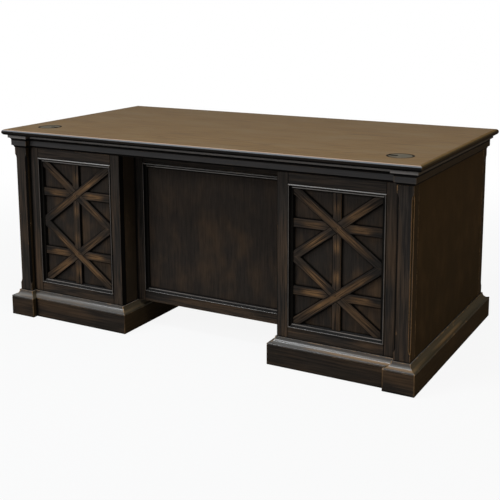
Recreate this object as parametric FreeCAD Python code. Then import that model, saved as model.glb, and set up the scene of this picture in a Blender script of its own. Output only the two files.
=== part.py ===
import FreeCAD, Part

import math
import os

# A double pedestal desk: two drawer pedestals and a panelled front under a moulded top.
# X runs to the right along the panelled front, which faces -Y. The drawers open towards +Y.
# The origin is on the floor under the middle of the top, and lengths are in millimetres.

Vector = FreeCAD.Vector
SIDES = (("left", -1), ("right", 1))

# Overall size
desk_width = 1727.0
desk_depth = 914.0
desk_height = 762.0

# Top: a veneered panel in a bullnosed lipping
top_thickness = 22.0
nose_flat = 3.0  # level strip of the lipping before its nose turns over

# Cornice and frieze mouldings under the top, stepping in from the nose to the carcass
nose_overhang = 17.0
cornice_step = 9.0
frieze_step = 9.0
cornice_fascia = 12.0
cornice_fillet = 2.0
frieze_fascia = 19.0
frieze_cove = 7.0
frieze_fillet = 1.0
frame_rail_width = 40.0  # frame members over the pedestal sides

# Pedestals
pedestal_width = 494.5
post_width = 57.0
pilaster_break = 22.0  # posts stand this far in front of the framed faces
side_thickness = 20.0
bottom_thickness = 18.0
frame_thickness = 26.0

# Stopped chamfers on the posts
post_chamfer = 7.0
chamfer_runout = 18.0
chamfer_above_cap = 47.0
chamfer_below_frieze = 46.0

# Plinth and its cap moulding
glide_height = 3.0
glide_radius = 9.0
glide_bevel = 1.0
glide_inset = 20.0  # from the end of an inner side to the middle of its glide
plinth_height = 73.0
plinth_projection = 27.0
plinth_arris = 2.0  # bevel that parts the boards from the cap
cap_band = 3.0
cap_lip = 3.0
cap_ledge = 5.0
cap_fillet = 2.0

# Framed and panelled fronts
front_stile = 42.0
modesty_stile = 37.0
front_top_rail = 40.0
front_bottom_rail = 39.0  # above the plinth cap
rail_tuck = 24.0  # run of the lower rails down behind the plinth cap
front_recess = 20.0  # frame face to panel face
modesty_recess = 12.0
panel_thickness = 6.0
rebate_width = 8.0
panel_clearance = 1.0
modesty_setback = 100.0
modesty_lift = 1.0  # over the plinth caps

# Panel moulding: a bead, a cove and a ledge
moulding_width = 15.0
bead_width = 5.0
bead_stand = 1.0  # foot of the bead above the frame face
bead_quirk = 2.0
panel_cove = 6.5

# Lattice of strips on the pedestal panels
strip_width = 32.0
strip_thickness = 10.0
strip_bevel = 2.0

# Face frame on the drawer side
face_stile = 30.0
face_bottom_rail = 28.0  # above the plinth cap
face_middle_rail = 28.0
face_top_rail = 36.0
file_opening_share = 0.6  # of the height of both drawer openings

# Drawers
front_overlay = 9.0
front_thickness = 20.0
front_edge_fall = 5.0
front_edge_width = 10.0
box_board = 12.0
box_bottom = 6.0
groove_depth = 6.0
groove_rise = 12.0
groove_clearance = 0.5
tail_pitch = 30.0
tail_root_share = 0.5  # of the pitch
tail_flare = 2.0
box_lift = 12.0
drawer_depth = 560.0
utility_headroom = 33.0  # between a box and the rail over it
file_headroom = 48.0  # more, for the tabs of hanging files
rail_gauge = 2.0
rail_height = 10.0

# Telescopic slides
slide_gap = 12.7
slide_height = 36.0
slide_gauge = 1.2
slide_float = 1.0  # sideways play of the runner
slide_clearance = 0.3
slide_length = 550.0
slide_setback = 2.0  # from the drawer's front
slide_rise = 50.0  # middle of the slide over the lower edge of the box
cleat_height = 46.0

# Bow pulls
pull_centres = 96.0
pull_projection = 28.0
pull_rod = 9.0
rosette_diameter = 20.0
rosette_thickness = 3.0
centre_pull_spread = 330.0

# Centre drawer: a tray behind a drop front
centre_front_height = 97.0
centre_front_thickness = 20.0
centre_top_gap = 3.0
centre_side_gap = 2.5
tray_lift = 4.0
tray_front_gap = 2.5
tray_depth = 380.0
tray_side_height = 60.0
tray_board = 12.0
tray_floor = 9.0
tray_slide_length = 350.0
tray_slide_rise = 24.0

# Butt hinges of the drop front
hinge_width = 48.0
hinge_radius = 3.0
hinge_leaf = 1.5
hinge_leaf_length = 25.0
hinge_clearance = 0.3
pin_radius = 1.4
pin_clearance = 0.05
hinge_inset = 110.0  # from the end of the drop front to the middle of a hinge

# Cable grommets
grommet_from_side = 123.5
grommet_from_front = 147.0
grommet_flange_radius = 47.0
grommet_flange = 5.0
grommet_rim = 6.0
grommet_seat = 3.0
sleeve_radius = 39.7
sleeve_wall = 2.2
sleeve_depth = 25.0
grommet_clearance = 0.3
cap_sink = 0.2  # cap below the top's surface
skirt_wall = 2.0
skirt_depth = 10.0
slot_length = 32.0
slot_width = 14.0
cable_exit_radius = 28.0  # hole for cables, from behind the drawers into the kneehole

# Joining hardware
bracket_height = 32.0
bracket_width = 30.0
bracket_gauge = 2.0
bracket_from_end = 130.0
bolt_radius = 3.0
bolt_length = 44.0
bolt_head_radius = 6.5
bolt_head_height = 4.0
bolt_clearance = 0.3

overrun = 5.0  # cutters run past the faces that they cut

# Planes that the pieces share
half_width = desk_width / 2
half_depth = desk_depth / 2
under_top = desk_height - top_thickness
cornice_reach = cornice_step + frieze_step
cornice_height = cornice_fascia + cornice_step + cornice_fillet
frieze_height = frieze_fascia + frieze_cove + frieze_fillet
pedestal_top = under_top - cornice_height - frieze_height
carcass_x = half_width - nose_overhang - cornice_reach
post_y = half_depth - nose_overhang - cornice_reach
post_x = carcass_x - post_width
face_y = post_y - pilaster_break
inside_y = face_y - frame_thickness
inner_x = carcass_x - pedestal_width
plinth_top = glide_height + plinth_height
cap_cove = plinth_projection - cap_lip - cap_ledge
cap_top = plinth_top + cap_band + cap_lip + cap_cove + cap_fillet
opening_low = cap_top + front_bottom_rail
opening_high = pedestal_top - front_top_rail
bay_inner = inner_x + face_stile
bay_outer = post_x - face_stile
file_low = cap_top + face_bottom_rail
utility_high = pedestal_top - face_top_rail
file_high = file_low + (utility_high - file_low - face_middle_rail) * file_opening_share
utility_low = file_high + face_middle_rail
file_box_height = file_high - file_low - box_lift - file_headroom
utility_box_height = utility_high - utility_low - box_lift - utility_headroom
drawer_back = face_y - drawer_depth
modesty_y = face_y - modesty_setback
modesty_low = cap_top + modesty_lift
grommet_x = half_width - grommet_from_side
grommet_y = grommet_from_front - half_depth


def board(x_ends, y_ends, z_ends):
    """A square-edged board between three pairs of planes, each pair in either order."""
    pairs = [sorted(ends) for ends in (x_ends, y_ends, z_ends)]
    sizes = [high - low for low, high in pairs]
    return Part.makeBox(*sizes, Vector(*[low for low, high in pairs]))


def quarter(centre, start, end):
    """The step of an outline that goes a quarter turn round a centre: its middle and its end."""
    lean = [(s + e - 2 * c) / math.sqrt(2) for s, e, c in zip(start, end, centre)]
    middle = (centre[0] + lean[0], centre[1] + lean[1])
    return middle, end


def outline_face(place, outline):
    """The face in a closed outline: a step is a point, or the middle and the end of an arc."""
    edges = []
    here = outline[0]
    for step in outline[1:] + [outline[0]]:
        if isinstance(step[0], tuple):
            middle, end = step
            edges.append(Part.Arc(place(*here), place(*middle), place(*end)).toShape())
        else:
            end = step
            edges.append(Part.LineSegment(place(*here), place(*end)).toShape())
        here = end
    return Part.Face(Part.Wire(edges))


def outline_points(outline):
    """Every point that an outline passes through."""
    points = []
    for step in outline:
        points.extend(step if isinstance(step[0], tuple) else [step])
    return points


def mitred_lengths(path, outline, closed=True):
    """Lengths of moulding along a path of square corners, mitred where they meet.

    The moulding is on the right of travel. Its outline is in U, out from the path, and W, up.
    """
    corners = [Vector(a, b, 0) for a, b in path]
    runs = len(corners) if closed else len(corners) - 1
    along = [(corners[(run + 1) % len(corners)] - corners[run]).normalize() for run in range(runs)]
    out = [Vector(step.y, -step.x, 0) for step in along]
    points = outline_points(outline)
    reach = max(u for u, w in points) + overrun
    height = max(w for u, w in points) + overrun
    lengths = []
    for run in range(runs):
        here = corners[run]
        there = corners[(run + 1) % len(corners)]
        before = out[run - 1] if closed or run > 0 else Vector()
        after = out[(run + 1) % runs] if closed or run + 1 < runs else Vector()
        start = here - along[run] * reach
        section = outline_face(lambda u, w: start + out[run] * u + Vector(0, 0, w), outline)
        bar = section.extrude(along[run] * ((there - here).Length + 2 * reach))
        plan = [here, there, there + (out[run] + after) * reach, here + (out[run] + before) * reach]
        plan_face = Part.Face(Part.makePolygon(plan + [here]))
        lengths.append(bar.common(plan_face.extrude(Vector(0, 0, height))).Solids[0])
    return lengths


def raised(shapes, level):
    """Shapes lifted to a level."""
    for shape in shapes:
        shape.translate(Vector(0, 0, level))
    return shapes


def stood_up(shapes, plane_y):
    """Shapes drawn flat, stood in an upright plane with their upper faces to the front."""
    for shape in shapes:
        shape.rotate(Vector(), Vector(1, 0, 0), 90)
        shape.translate(Vector(0, plane_y, 0))
    return shapes


def cornice_path():
    """The carcass line round the desk, from one side of the kneehole's open back to the other."""
    right = [
        (post_x, -face_y), (post_x, -post_y), (carcass_x, -post_y),
        (carcass_x, post_y), (post_x, post_y), (post_x, face_y), (inner_x, face_y),
    ]
    return [(-x, y) for x, y in reversed(right)] + right


def pedestal_path(side):
    """The carcass line round one pedestal, with its posts breaking forward."""
    right = [
        (inner_x, -face_y), (post_x, -face_y), (post_x, -post_y), (carcass_x, -post_y),
        (carcass_x, post_y), (post_x, post_y), (post_x, face_y), (inner_x, face_y),
    ]
    return right if side > 0 else [(-x, y) for x, y in reversed(right)]


def top_panel():
    """The veneered panel, with a stepped hole for each grommet."""
    edge = nose_flat + top_thickness / 2
    x = half_width - edge
    y = half_depth - edge
    panel = board((-x, x), (-y, y), (under_top, desk_height))
    hole = sleeve_radius + grommet_clearance
    step = grommet_flange_radius + grommet_clearance
    for name, side in SIDES:
        low = Vector(side * grommet_x, grommet_y, under_top - overrun)
        seat = Vector(side * grommet_x, grommet_y, desk_height - grommet_flange)
        panel = panel.cut(Part.makeCylinder(hole, top_thickness + 2 * overrun, low))
        panel = panel.cut(Part.makeCylinder(step, grommet_flange + overrun, seat))
    return [panel]


def top_lipping():
    """The bullnosed edge round the panel, in four mitred lengths."""
    nose = top_thickness / 2
    x = half_width - nose_flat - nose
    y = half_depth - nose_flat - nose
    bullnose = ((nose_flat + nose, nose), (nose_flat, top_thickness))
    outline = [(0, 0), (nose_flat, 0), bullnose, (0, top_thickness)]
    path = [(-x, -y), (x, -y), (x, y), (-x, y)]
    return raised(mitred_lengths(path, outline), under_top)


def cornice():
    """The upper moulding: a fascia over a cove."""
    cove_end = (cornice_reach, cornice_fillet + cornice_step)
    cove_start = (frieze_step, cornice_fillet)
    cove = quarter((cornice_reach, cornice_fillet), cove_start, cove_end)
    fascia_top = (cornice_reach, cornice_height)
    outline = [(0, 0), (frieze_step, 0), cove_start, cove, fascia_top, (0, cornice_height)]
    return raised(mitred_lengths(cornice_path(), outline, closed=False), under_top - cornice_height)


def frieze():
    """The lower moulding: a broad fascia over a small cove."""
    foot = frieze_step - frieze_cove
    cove_start = (foot, frieze_fillet)
    cove_end = (frieze_step, frieze_fillet + frieze_cove)
    cove = quarter((frieze_step, frieze_fillet), cove_start, cove_end)
    outline = [(0, 0), (foot, 0), cove_start, cove, (frieze_step, frieze_height), (0, frieze_height)]
    return raised(mitred_lengths(cornice_path(), outline, closed=False), pedestal_top)


def top_frame():
    """The frame under the panel that the mouldings are fixed to and that stands on the pedestals."""
    heights = (pedestal_top, under_top)
    members = [board((-post_x, post_x), (-face_y, -inside_y), heights)]
    for name, side in SIDES:
        outer = (side * carcass_x, side * (carcass_x - frame_rail_width))
        inner = (side * inner_x, side * (inner_x + frame_rail_width))
        corner = (side * carcass_x, side * post_x)
        members.append(board(outer, (-inside_y, inside_y), heights))
        members.append(board(inner, (-inside_y, inside_y), heights))
        members.append(board(corner, (-post_y, -inside_y), heights))
        members.append(board(corner, (inside_y, post_y), heights))
        members.append(board((side * inner_x, side * post_x), (inside_y, face_y), heights))
    return members


def stopped_chamfer(corner_x, corner_y, in_x, in_y):
    """What a stopped chamfer takes off an upright edge: a flat with a scooped end above and below."""
    depth = post_chamfer / math.sqrt(2)
    scoop = (chamfer_runout ** 2 + depth ** 2) / (2 * depth)
    half_turn = math.asin(chamfer_runout / scoop) / 2
    scoop_in = depth - scoop + scoop * math.cos(half_turn)
    scoop_run = scoop * math.sin(half_turn)
    low = cap_top + chamfer_above_cap
    high = pedestal_top - chamfer_below_frieze
    inward = Vector(in_x, in_y, 0).normalize()
    across = Vector(-inward.y, inward.x, 0)
    start = Vector(corner_x, corner_y, 0) - across * post_chamfer
    outline = [
        (-overrun, low - chamfer_runout),
        (0, low - chamfer_runout),
        ((scoop_in, low - scoop_run), (depth, low)),
        (depth, high),
        ((scoop_in, high + scoop_run), (0, high + chamfer_runout)),
        (-overrun, high + chamfer_runout),
    ]
    face = outline_face(lambda d, z: start + inward * d + Vector(0, 0, z), outline)
    return face.extrude(across * (2 * post_chamfer))


def corner_posts(side):
    """The front and rear posts of a pedestal, each with both of its show edges chamfered."""
    posts = []
    width = (side * carcass_x, side * post_x)
    for end in (-1, 1):
        post = board(width, (end * post_y, end * inside_y), (glide_height, pedestal_top))
        post = post.cut(stopped_chamfer(side * carcass_x, end * post_y, -side, -end))
        posts.append(post.cut(stopped_chamfer(side * post_x, end * post_y, side, -end)))
    return posts


def bolt_levels():
    """Heights of the bolts between pedestals and front panel, clear of the slide cleats."""
    file_cleat = file_low + box_lift + slide_rise
    utility_cleat = utility_low + box_lift + slide_rise
    half_cleat = cleat_height / 2
    gaps = [
        (modesty_low, file_cleat - half_cleat),
        (file_cleat + half_cleat, utility_cleat - half_cleat),
        (utility_cleat + half_cleat, pedestal_top),
    ]
    return [(low + high) / 2 for low, high in gaps]


def bolt_line(side, radius, start_x, length):
    """Cylinders on the bolts' axes, from a plane inside the pedestal towards the kneehole."""
    middle_y = frame_thickness / 2 - modesty_y
    towards = Vector(-side, 0, 0)
    starts = [Vector(side * start_x, middle_y, level) for level in bolt_levels()]
    return [Part.makeCylinder(radius, length, start, towards) for start in starts]


def bolt_holes(side):
    """Clearance holes for the bolts of one pedestal."""
    start = inner_x + side_thickness + overrun
    hole_length = bolt_length + overrun + bolt_clearance
    return bolt_line(side, bolt_radius + bolt_clearance, start, hole_length)


def outer_side(side):
    """The plain outer side, flush with the posts."""
    ends = (side * carcass_x, side * (carcass_x - side_thickness))
    return [board(ends, (-inside_y, inside_y), (glide_height, pedestal_top))]


def inner_side(side):
    """The kneehole side, drilled for the bolts and for cables that come down behind the drawers."""
    ends = (side * inner_x, side * (inner_x + side_thickness))
    panel_back = frame_thickness - modesty_y
    low, exit_level, high = bolt_levels()
    exit_start = Vector(side * (inner_x - overrun), (panel_back + drawer_back) / 2, exit_level)
    exit_length = side_thickness + 2 * overrun
    cable_exit = Part.makeCylinder(cable_exit_radius, exit_length, exit_start, Vector(side, 0, 0))
    wall = board(ends, (-inside_y, inside_y), (glide_height, pedestal_top))
    return [wall.cut(bolt_holes(side) + [cable_exit])]


def bottom_board(side):
    """The floor of a pedestal, level with the plinth cap."""
    ends = (side * (inner_x + side_thickness), side * (carcass_x - side_thickness))
    return board(ends, (-inside_y, inside_y), (cap_top - bottom_thickness, cap_top))


def panel_moulding(left, right, recess, panel_y):
    """The mitred moulding round the inside of a framed opening, on the face of its panel."""
    bead_foot = recess + bead_stand
    cove_top = bead_foot - bead_quirk
    ledge = cove_top - panel_cove
    bead = ((bead_width / 2, bead_foot + bead_width / 2), (bead_width, bead_foot))
    cove_start = (bead_width, cove_top)
    cove_end = (bead_width + panel_cove, ledge)
    cove = quarter((cove_end[0], cove_top), cove_start, cove_end)
    outline = [(0, 0), (0, bead_foot), bead, cove_start, cove, (moulding_width, ledge), (moulding_width, 0)]
    path = [(left, opening_low), (left, opening_high), (right, opening_high), (right, opening_low)]
    return stood_up(mitred_lengths(path, outline), panel_y)


def framed_panel(x_ends, stile, z_ends, rail_low, front_y, recess):
    """Two stiles and two rails, rebated for a panel, with the panel and its moulding."""
    left, right = sorted(x_ends)
    low, high = z_ends
    open_left = left + stile
    open_right = right - stile
    depth = (front_y, front_y + frame_thickness)
    panel_y = front_y + recess
    rebate = board(
        (open_left - rebate_width, open_right + rebate_width),
        (panel_y, front_y + frame_thickness + overrun),
        (opening_low - rebate_width, opening_high + rebate_width),
    )
    members = [
        board((left, open_left), depth, (low, high)),
        board((open_right, right), depth, (low, high)),
        board((open_left, open_right), depth, (rail_low, opening_low)),
        board((open_left, open_right), depth, (opening_high, high)),
    ]
    margin = rebate_width - panel_clearance
    panel = board(
        (open_left - margin, open_right + margin),
        (panel_y, panel_y + panel_thickness),
        (opening_low - margin, opening_high + margin),
    )
    moulding = panel_moulding(open_left, open_right, recess, panel_y)
    return [member.cut(rebate) for member in members], [panel], moulding


def strip(start, end):
    """A bevelled strip along a line on a panel, past both its ends, and the ground that it covers."""
    foot = Vector(*start, 0)
    along = Vector(*end, 0) - foot
    length = along.Length
    along.normalize()
    across = Vector(-along.y, along.x, 0)
    foot = foot - along * strip_width
    half = strip_width / 2
    bevel_foot = strip_thickness - strip_bevel
    bevelled = [
        (-half, 0), (half, 0), (half, bevel_foot), (half - strip_bevel, strip_thickness),
        (strip_bevel - half, strip_thickness), (-half, bevel_foot),
    ]
    covered = [
        (-half, -overrun), (half, -overrun),
        (half, strip_thickness + overrun), (-half, strip_thickness + overrun),
    ]
    run = along * (length + 2 * strip_width)

    def place(a, w):
        return foot + across * a + Vector(0, 0, w)

    return [outline_face(place, points).extrude(run) for points in (bevelled, covered)]


def lattice(side):
    """Two crosses, one over the other, with an upright and two level strips cut in between them.

    In each cross one strip runs through and the other is cut round it.
    """
    edges = sorted((side * (inner_x + front_stile), side * (post_x - front_stile)))
    left = edges[0] + moulding_width
    right = edges[1] - moulding_width
    low = opening_low + moulding_width
    high = opening_high - moulding_width
    middle_x = (left + right) / 2
    middle_z = (low + high) / 2
    depth = (-overrun, strip_thickness + overrun)
    field = board((left, right), (low, high), depth)
    pieces = []
    covered = []
    levels = []
    for foot, head, falls in ((middle_z, high, side > 0), (low, middle_z, side < 0)):
        half_field = board((left, right), (foot, head), depth)
        falling = strip((left, head), (right, foot))
        rising = strip((left, foot), (right, head))
        through, cut = (falling, rising) if falls else (rising, falling)
        pieces.append(through[0].common(half_field))
        pieces.append(cut[0].common(half_field).cut(through[1]))
        covered.extend([through[1], cut[1]])
        levels.append(strip((left, (foot + head) / 2), (right, (foot + head) / 2)))
    upright = strip((middle_x, low), (middle_x, high))
    pieces.append(upright[0].common(field).cut(covered))
    covered.append(upright[1])
    pieces.extend(level[0].common(field).cut(covered) for level in levels)
    solids = [solid for piece in pieces for solid in piece.Solids]
    return stood_up(solids, front_recess - face_y)


def plinth(side):
    """The plinth boards round a pedestal, mitred at every corner."""
    outline = [
        (0, 0), (plinth_projection, 0), (plinth_projection, plinth_height - plinth_arris),
        (plinth_projection - plinth_arris, plinth_height), (0, plinth_height),
    ]
    return raised(mitred_lengths(pedestal_path(side), outline), glide_height)


def plinth_cap(side):
    """The cap moulding on the plinth: a band, a round lip, a deep cove and a fillet."""
    band_top = (plinth_projection, cap_band)
    lip_top = (plinth_projection - cap_lip, cap_band + cap_lip)
    lip = quarter((lip_top[0], cap_band), band_top, lip_top)
    cove_end = (cap_ledge, lip_top[1] + cap_cove)
    cove = quarter((lip_top[0], cove_end[1]), lip_top, cove_end)
    height = cap_top - plinth_top
    outline = [(0, 0), (plinth_projection, 0), band_top, lip, cove, (cap_ledge, height), (0, height)]
    return raised(mitred_lengths(pedestal_path(side), outline), plinth_top)


def face_frame(side):
    """Stiles and rails round the two drawer openings of a pedestal."""
    depth = (inside_y, face_y)
    between = (side * bay_inner, side * bay_outer)
    rails = [(cap_top - rail_tuck, file_low), (file_high, utility_low), (utility_high, pedestal_top)]
    stiles = [(inner_x, bay_inner), (bay_outer, post_x)]
    members = [board((side * near, side * far), depth, (glide_height, pedestal_top)) for near, far in stiles]
    members.extend(board(between, depth, heights) for heights in rails)
    return members


def floor_glides():
    """Bevelled glide buttons under the posts and the inner sides."""
    places = []
    for name, side in SIDES:
        for end in (-1, 1):
            post_middle = ((carcass_x + post_x) / 2, (post_y + inside_y) / 2)
            side_middle = (inner_x + side_thickness / 2, inside_y - glide_inset)
            places.extend(Vector(side * x, end * y, 0) for x, y in (post_middle, side_middle))
    outline = [
        (0, 0), (glide_radius - glide_bevel, 0), (glide_radius, glide_bevel),
        (glide_radius, glide_height), (0, glide_height),
    ]
    face = outline_face(lambda r, z: Vector(r, 0, z), outline)
    glide = face.revolve(Vector(), Vector(0, 0, 1), 360)
    return [glide.translated(place) for place in places]


def grommet_liner(side):
    """The flanged sleeve of a grommet, with a seat for its cap."""
    seat_radius = grommet_flange_radius - grommet_rim
    bore = sleeve_radius - sleeve_wall
    outline = [
        (bore, -sleeve_depth), (sleeve_radius, -sleeve_depth), (sleeve_radius, -grommet_flange),
        (grommet_flange_radius, -grommet_flange), (grommet_flange_radius, 0),
        (seat_radius, 0), (seat_radius, -grommet_seat), (bore, -grommet_seat),
    ]
    liner = outline_face(lambda r, z: Vector(r, 0, z), outline).revolve(Vector(), Vector(0, 0, 1), 360)
    return liner.translated(Vector(side * grommet_x, grommet_y, desk_height))


def grommet_cap(side):
    """The turning cap of a grommet: a disc with a skirt, and a slot for cables."""
    radius = grommet_flange_radius - grommet_rim - grommet_clearance
    skirt = sleeve_radius - sleeve_wall - grommet_clearance
    outline = [
        (0, -grommet_seat), (skirt - skirt_wall, -grommet_seat), (skirt - skirt_wall, -skirt_depth),
        (skirt, -skirt_depth), (skirt, -grommet_seat), (radius, -grommet_seat),
        (radius, -cap_sink), (0, -cap_sink),
    ]
    cap = outline_face(lambda r, z: Vector(r, 0, z), outline).revolve(Vector(), Vector(0, 0, 1), 360)
    half_slot = slot_width / 2
    slot_end = radius - slot_length + half_slot
    slot_depth = (-skirt_depth - overrun, overrun)
    slot = board((-side * slot_end, -side * (radius + overrun)), (-half_slot, half_slot), slot_depth)
    round_foot = Vector(-side * slot_end, 0, slot_depth[0])
    slot_round = Part.makeCylinder(half_slot, skirt_depth + 2 * overrun, round_foot)
    cap = cap.cut(slot.fuse(slot_round))
    return [cap.translated(Vector(side * grommet_x, grommet_y, desk_height)).Solids[0]]


def slide_pair(wall_x, towards, front_y, length, level):
    """A channel on a wall and the runner that nests in it, each a folded section."""
    def section(near, far, half_height):
        ends = (wall_x + towards * near, wall_x + towards * far)
        return board(ends, (front_y - length, front_y), (level - half_height, level + half_height))

    half = slide_height / 2
    channel_depth = slide_gap - slide_gauge - slide_float
    channel = section(0, channel_depth, half)
    channel = channel.cut(section(slide_gauge, channel_depth + overrun, half - slide_gauge))
    runner_half = half - slide_gauge - slide_clearance
    runner_tip = slide_gauge + slide_float
    runner = section(runner_tip, slide_gap, runner_half)
    runner = runner.cut(section(runner_tip - overrun, slide_gap - slide_gauge, runner_half - slide_gauge))
    return channel, runner


def pull(x, y, z):
    """A bow pull on two rosettes, standing out from a face at Y."""
    rise = pull_projection - pull_rod / 2
    bow = ((pull_centres / 2) ** 2 + rise ** 2) / (2 * rise)
    ring = Part.makeTorus(bow, pull_rod / 2, Vector(0, rise - bow, 0), Vector(0, 0, 1))
    span = pull_centres / 2 + pull_rod
    front = board((-span, span), (0, pull_projection + overrun), (-pull_rod, pull_rod))
    handle = ring.common(front)
    for end in (-1, 1):
        foot = Vector(end * pull_centres / 2, 0, 0)
        rosette = Part.makeCylinder(rosette_diameter / 2, rosette_thickness, foot, Vector(0, 1, 0))
        handle = handle.fuse(rosette)
    return handle.removeSplitter().translated(Vector(x, y, z)).Solids[0]


def drawer_front(side, low, high):
    """An overlay front with its edges worked down."""
    ends = (side * (bay_inner - front_overlay), side * (bay_outer + front_overlay))
    face = face_y + front_thickness
    front = board(ends, (face_y, face), (low - front_overlay, high + front_overlay))
    show_edges = [edge for edge in front.Edges if edge.BoundBox.YMin > face - front_edge_fall]
    return front.makeChamfer(front_edge_fall, front_edge_width, show_edges).Solids


def dovetails(x_ends, root_y, end_y, low, height):
    """The tails on one end of a drawer side, wider at their ends than at their roots."""
    count = max(round(height / tail_pitch), 1)
    pitch = height / count
    half_root = pitch * tail_root_share / 2
    half_end = half_root + tail_flare
    tails = []
    for number in range(count):
        middle = low + pitch * (number + 1 / 2)
        outline = [
            (root_y, middle - half_root), (end_y, middle - half_end),
            (end_y, middle + half_end), (root_y, middle + half_root),
        ]
        face = outline_face(lambda y, z: Vector(x_ends[0], y, z), outline)
        tails.append(face.extrude(Vector(x_ends[1] - x_ends[0], 0, 0)))
    return tails


def drawer_box(x_ends, low, height):
    """Two sides dovetailed into an inner front and a back, all grooved for a bottom."""
    left, right = sorted(x_ends)
    front = face_y
    back = drawer_back
    heights = (low, low + height)
    roots = (back + box_board, front - box_board)
    crosswise = [
        board((left, right), (roots[1], front), heights),
        board((left, right), (back, roots[0]), heights),
    ]
    sides = []
    for thickness in ((left, left + box_board), (right - box_board, right)):
        front_tails = dovetails(thickness, roots[1], front, low, height)
        back_tails = dovetails(thickness, roots[0], back, low, height)
        sides.append(board(thickness, roots, heights).fuse(front_tails + back_tails).removeSplitter())
        crosswise = [crosswise[0].cut(front_tails), crosswise[1].cut(back_tails)]

    def bottom(depth):
        inset = box_board - depth
        floor = (low + groove_rise, low + groove_rise + box_bottom)
        return board((left + inset, right - inset), (back + inset, front - inset), floor)

    grooved = [piece.cut(bottom(groove_depth)) for piece in sides + crosswise]
    return grooved + [bottom(groove_depth - groove_clearance)]


def hanging_rails(x_ends, level):
    """Two folded rails on the box sides, for hanging files."""
    left, right = sorted(x_ends)
    rails = []
    for outer, inward in ((left, 1), (right, -1)):
        outline = [
            (0, 0), (box_board, 0), (box_board, rail_height), (box_board - rail_gauge, rail_height),
            (box_board - rail_gauge, rail_gauge), (0, rail_gauge),
        ]
        face = outline_face(lambda a, w: Vector(outer + inward * a, drawer_back, level + w), outline)
        rails.append(face.extrude(Vector(0, drawer_depth - box_board, 0)))
    return rails


def slide_cleats(side):
    """Packing blocks that carry the slides, out from both sides of a pedestal."""
    cleats = []
    walls = [(inner_x + side_thickness, bay_inner), (bay_outer, carcass_x - side_thickness)]
    for opening in (file_low, utility_low):
        level = opening + box_lift + slide_rise
        heights = (level - cleat_height / 2, level + cleat_height / 2)
        cleats.extend(board((side * near, side * far), (-inside_y, inside_y), heights) for near, far in walls)
    return cleats


def top_brackets(side):
    """Angle brackets that hold the top frame down on a pedestal's sides."""
    brackets = []
    leg = frame_rail_width - side_thickness
    for wall, inward in ((inner_x + side_thickness, side), (carcass_x - side_thickness, -side)):
        for end in (-1, 1):
            start_y = end * (inside_y - bracket_from_end) - bracket_width / 2
            outline = [
                (0, 0), (leg, 0), (leg, -bracket_gauge), (bracket_gauge, -bracket_gauge),
                (bracket_gauge, -bracket_height), (0, -bracket_height),
            ]
            wall_x = side * wall
            face = outline_face(lambda a, w: Vector(wall_x + inward * a, start_y, pedestal_top + w), outline)
            brackets.append(face.extrude(Vector(0, bracket_width, 0)))
    return brackets


def front_bolts(side):
    """Bolts from inside a pedestal into the stile of the front panel."""
    wall = inner_x + side_thickness
    shanks = bolt_line(side, bolt_radius, wall, bolt_length)
    heads = bolt_line(side, bolt_head_radius, wall + bolt_head_height, bolt_head_height)
    return [shank.fuse(head).removeSplitter().Solids[0] for shank, head in zip(shanks, heads)]


def build_drawer(nodes, prefix, side, low, high, box_height):
    """One pedestal drawer with its pull and runners; returns the channels that it runs in."""
    walls = (side * bay_inner, side * bay_outer)
    box_ends = (side * (bay_inner + slide_gap), side * (bay_outer - slide_gap))
    box_low = low + box_lift
    level = box_low + slide_rise
    slide_front = face_y - slide_setback
    pairs = []
    for wall, towards in zip(walls, (side, -side)):
        pairs.append(slide_pair(wall, towards, slide_front, slide_length, level))
    nodes[prefix + "_front"] = drawer_front(side, low, high)
    nodes[prefix + "_box"] = drawer_box(box_ends, box_low, box_height)
    nodes[prefix + "_pull"] = [pull(sum(walls) / 2, face_y + front_thickness, (low + high) / 2)]
    nodes[prefix + "_runners"] = [runner for channel, runner in pairs]
    return [channel for channel, runner in pairs]


def hinge(middle_x, axis_y, axis_z, tray_under, flap_back):
    """One butt hinge: the leaf under the tray with its pin, and the leaf on the drop front."""
    third = hinge_width / 3
    start = middle_x - hinge_width / 2
    edge = start + hinge_width

    def knuckle(radius, from_x, to_x):
        return Part.makeCylinder(radius, to_x - from_x, Vector(from_x, axis_y, axis_z), Vector(1, 0, 0))

    clear = hinge_radius + hinge_clearance
    inner = (start + third, edge - third)
    bore = knuckle(pin_radius + pin_clearance, start - overrun, edge + overrun)
    leaf_run = (axis_y - hinge_leaf_length, axis_y)
    tray_leaf = board((start, edge), leaf_run, (tray_under - hinge_leaf, tray_under))
    tray_leaf = tray_leaf.cut(knuckle(clear, *inner))
    for ends in ((start, inner[0]), (inner[1], edge)):
        tray_leaf = tray_leaf.fuse(knuckle(hinge_radius, *ends))
    leaf_rise = (axis_z, axis_z + hinge_leaf_length)
    flap_leaf = board((start, edge), (flap_back - hinge_leaf, flap_back), leaf_rise)
    for ends in ((start, inner[0] + hinge_clearance), (inner[1] - hinge_clearance, edge)):
        flap_leaf = flap_leaf.cut(knuckle(clear, *ends))
    flap_leaf = flap_leaf.fuse(knuckle(hinge_radius, inner[0] + hinge_clearance, inner[1] - hinge_clearance))
    fixed = [tray_leaf.cut(bore).Solids[0], knuckle(pin_radius, start, edge)]
    return fixed, flap_leaf.cut(bore).Solids[0]


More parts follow.
